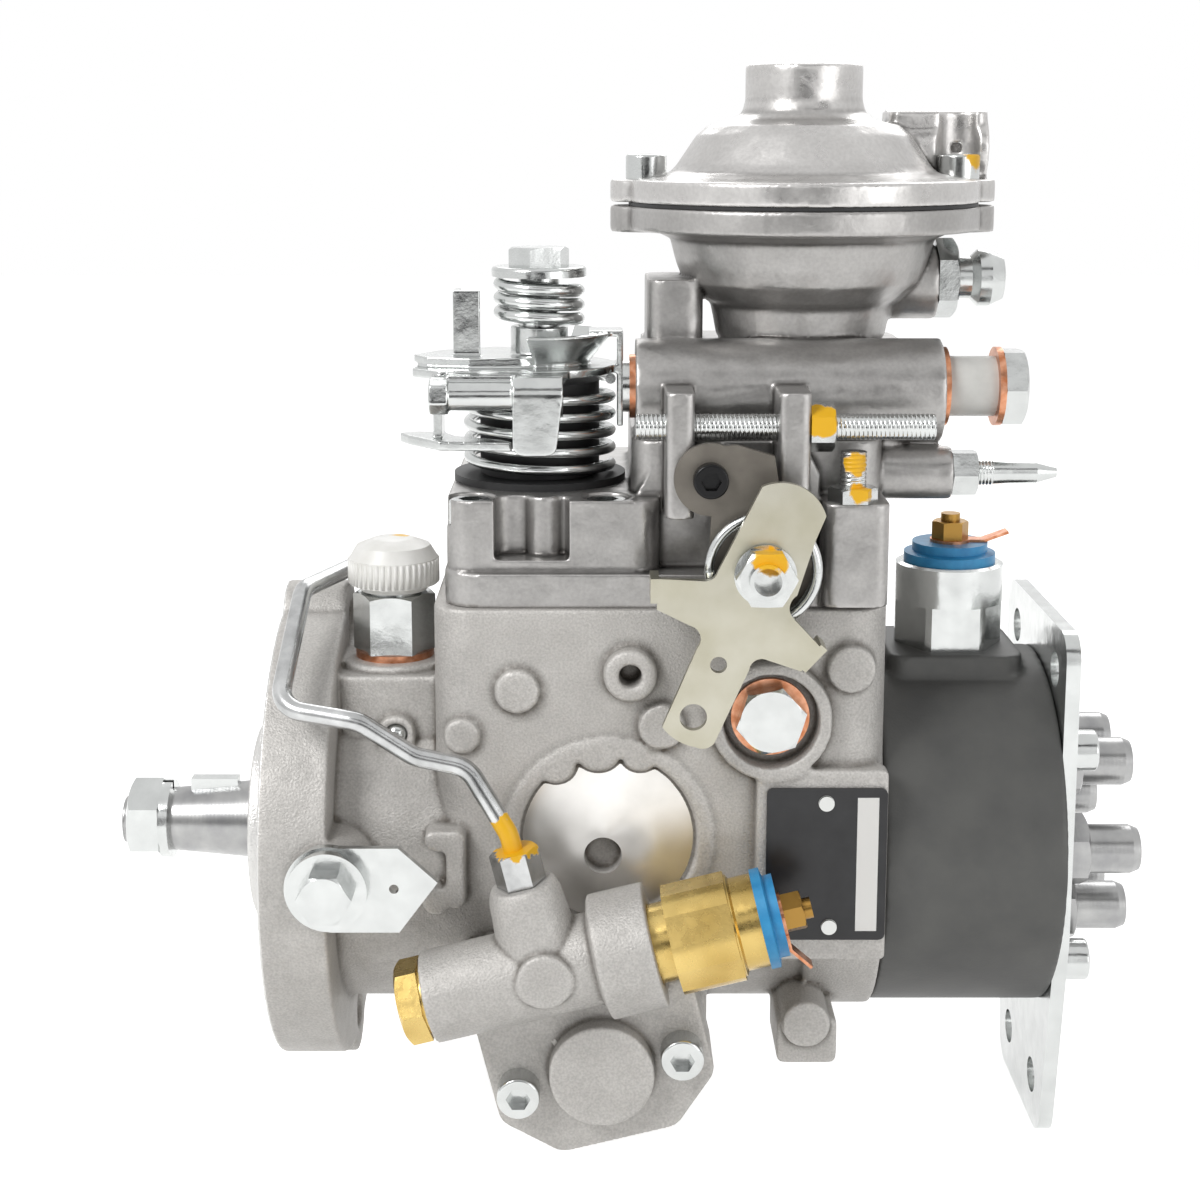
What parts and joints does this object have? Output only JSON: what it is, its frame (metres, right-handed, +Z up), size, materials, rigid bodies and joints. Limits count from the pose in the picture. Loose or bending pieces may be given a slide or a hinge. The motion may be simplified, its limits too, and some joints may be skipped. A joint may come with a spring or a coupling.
{
  "type": "diesel injection pump",
  "caption": "Rotary distributor diesel injection pump with flange, vane pump, flyweight governor, cam plate, plunger, timing piston, boost cap, cold start valve, stop solenoid and levers.",
  "frame": {"origin": "on the drive shaft's axis in the mounting face of the flange", "axes": "+X along the drive axis towards the outlets, +Y away from the lever side, +Z up to the governor cover"},
  "size_m": [0.2553, 0.1393, 0.2669],
  "materials": {
    "cast_aluminium": "matt",
    "die_cast": "satin",
    "dark_iron": "matt",
    "zinc_bright": "satin",
    "zinc_cream": "satin",
    "zinc_gold": "satin",
    "phosphate": "matt",
    "steel": "satin",
    "tool_steel": "ground",
    "copper": "satin",
    "bronze": "satin",
    "black_rubber": "matt",
    "milky_plastic": "satin",
    "white_plastic": "satin",
    "blue_plastic": "satin",
    "black_metal": "gloss"
  },
  "bodies": {
    "pump_body": {"pump_housing": "cast_aluminium", "governor_cover": "die_cast", "boost_cap": "die_cast", "cap_screws": "zinc_bright", "shaft_bearing": "bronze", "pump_ring": "steel", "distributor_head": "dark_iron", "delivery_valves": "steel", "sealing_plugs": "zinc_bright", "governor_pins": "tool_steel", "throttle_bush": "black_rubber", "return_springs": "zinc_bright", "adjusting_screws": "zinc_bright", "lock_plate": "phosphate", "hose_barb": "zinc_bright", "return_bolt": "zinc_bright", "return_sleeve": "milky_plastic", "copper_washers": "copper", "stop_solenoid": "zinc_bright", "solenoid_terminals": "blue_plastic", "inlet_union": "zinc_bright", "inlet_cap": "white_plastic", "nameplate": "black_metal", "timing_cover": "die_cast", "cold_start_body": "die_cast", "cold_start_fittings": "zinc_gold", "fuel_pipe": "steel", "lock_bolt": "zinc_bright", "rear_bracket": "zinc_bright", "plunger_springs": "tool_steel", "timing_spring": "tool_steel", "boost_spring": "tool_steel", "boost_diaphragm": "black_rubber", "governor_spring": "tool_steel"},
    "drive_train": {"drive_shaft": "tool_steel", "shaft_nut": "zinc_bright", "pump_rotor": "steel", "governor_drive_gear": "steel", "cross_disc": "tool_steel", "cam_plate": "tool_steel", "plunger": "tool_steel"},
    "governor_carrier": {"weight_carrier": "steel"},
    "weight_1": {"flyweight_1": "steel"},
    "weight_2": {"flyweight_2": "steel"},
    "weight_3": {"flyweight_3": "steel"},
    "weight_4": {"flyweight_4": "steel"},
    "sleeve": {"governor_sleeve": "tool_steel"},
    "lever": {"governor_lever": "steel"},
    "spool": {"control_spool": "tool_steel"},
    "timing": {"timing_piston": "die_cast"},
    "rollers": {"roller_ring": "tool_steel"},
    "throttle": {"throttle_shaft": "zinc_bright", "throttle_levers": "zinc_bright", "throttle_spring": "zinc_bright"},
    "stop": {"stop_shaft": "zinc_bright", "stop_lever": "zinc_cream"},
    "boost": {"boost_piston": "steel"},
    "feeler": {"feeler_pin": "tool_steel"},
    "armature": {"solenoid_armature": "steel"},
    "needle": {"cold_start_needle": "steel"}
  },
  "joints": [
    {"name": "shaft_spin", "type": "hinge", "parent": "pump_body", "child": "drive_train", "pos_m": [0, 0, 0], "axis": [1, 0, 0], "continuous": true},
    {"name": "governor_spin", "type": "hinge", "parent": "pump_body", "child": "governor_carrier", "pos_m": [0, 0, 0.045], "axis": [1, 0, 0], "continuous": true},
    {"name": "sleeve_slide", "type": "slide", "parent": "pump_body", "child": "sleeve", "axis": [1, 0, 0], "range_m": [0, 0.003], "stiffness_N_per_m": 1500},
    {"name": "lever_tilt", "type": "hinge", "parent": "pump_body", "child": "lever", "pos_m": [0.105, 0, 0.032], "axis": [0, 1, 0], "range_deg": [-1, 14]},
    {"name": "spool_slide", "type": "slide", "parent": "pump_body", "child": "spool", "axis": [1, 0, 0], "range_m": [-0.0053, 0.0001]},
    {"name": "timing_slide", "type": "slide", "parent": "pump_body", "child": "timing", "axis": [0, 1, 0], "range_m": [0, 0.005], "stiffness_N_per_m": 12000, "deforming": ["timing_spring"]},
    {"name": "ring_turn", "type": "hinge", "parent": "pump_body", "child": "rollers", "pos_m": [0, 0, 0], "axis": [1, 0, 0], "range_deg": [-0.5, 7]},
    {"name": "throttle_turn", "type": "hinge", "parent": "pump_body", "child": "throttle", "pos_m": [0.0643, -0.008, 0.1], "axis": [0, 0, -1], "range_deg": [0, 45], "stiffness_Nm_per_rad": 1.2, "springref_deg": -11.46, "deforming": ["governor_spring"]},
    {"name": "stop_turn", "type": "hinge", "parent": "pump_body", "child": "stop", "pos_m": [0.116, -0.05, 0.0776], "axis": [0, 1, 0], "range_deg": [0, 30], "stiffness_Nm_per_rad": 0.6, "springref_deg": -14.32},
    {"name": "boost_stroke", "type": "slide", "parent": "pump_body", "child": "boost", "axis": [0, 0, -1], "range_m": [0, 0.005], "stiffness_N_per_m": 6000, "deforming": ["boost_spring", "boost_diaphragm"]},
    {"name": "feeler_slide", "type": "slide", "parent": "pump_body", "child": "feeler", "axis": [-1, 0, 0], "range_m": [-0.0001, 0.0011]},
    {"name": "armature_lift", "type": "slide", "parent": "pump_body", "child": "armature", "axis": [0, 0, 1], "range_m": [0, 0.0025], "stiffness_N_per_m": 1000},
    {"name": "needle_lift", "type": "slide", "parent": "pump_body", "child": "needle", "axis": [0.9703, 0, 0.2419], "range_m": [0, 0.002], "stiffness_N_per_m": 1000},
    {"name": "weight_1_swing", "type": "hinge", "parent": "governor_carrier", "child": "weight_1", "pos_m": [0.0575, 0, 0.059], "axis": [0, -1, 0], "range_deg": [-1, 24]},
    {"name": "weight_2_swing", "type": "hinge", "parent": "governor_carrier", "child": "weight_2", "pos_m": [0.0575, 0.014, 0.045], "axis": [0, 0, 1], "range_deg": [-1, 24]},
    {"name": "weight_3_swing", "type": "hinge", "parent": "governor_carrier", "child": "weight_3", "pos_m": [0.0575, 0, 0.031], "axis": [0, 1, 0], "range_deg": [-1, 24]},
    {"name": "weight_4_swing", "type": "hinge", "parent": "governor_carrier", "child": "weight_4", "pos_m": [0.0575, -0.014, 0.045], "axis": [0, 0, -1], "range_deg": [-1, 24]}
  ],
  "couplings": [
    {"joint": "governor_spin", "follows": "shaft_spin", "ratio": -1.6087},
    {"joint": "lever_tilt", "follows": "sleeve_slide", "rad_per_m": 76},
    {"joint": "spool_slide", "follows": "sleeve_slide", "ratio": -1.7},
    {"joint": "ring_turn", "follows": "timing_slide", "rad_per_m": 23.53},
    {"joint": "feeler_slide", "follows": "boost_stroke", "ratio": 0.2},
    {"joint": "weight_1_swing", "follows": "sleeve_slide", "rad_per_m": 137.2},
    {"joint": "weight_2_swing", "follows": "sleeve_slide", "rad_per_m": 137.2},
    {"joint": "weight_3_swing", "follows": "sleeve_slide", "rad_per_m": 137.2},
    {"joint": "weight_4_swing", "follows": "sleeve_slide", "rad_per_m": 137.2}
  ]
}
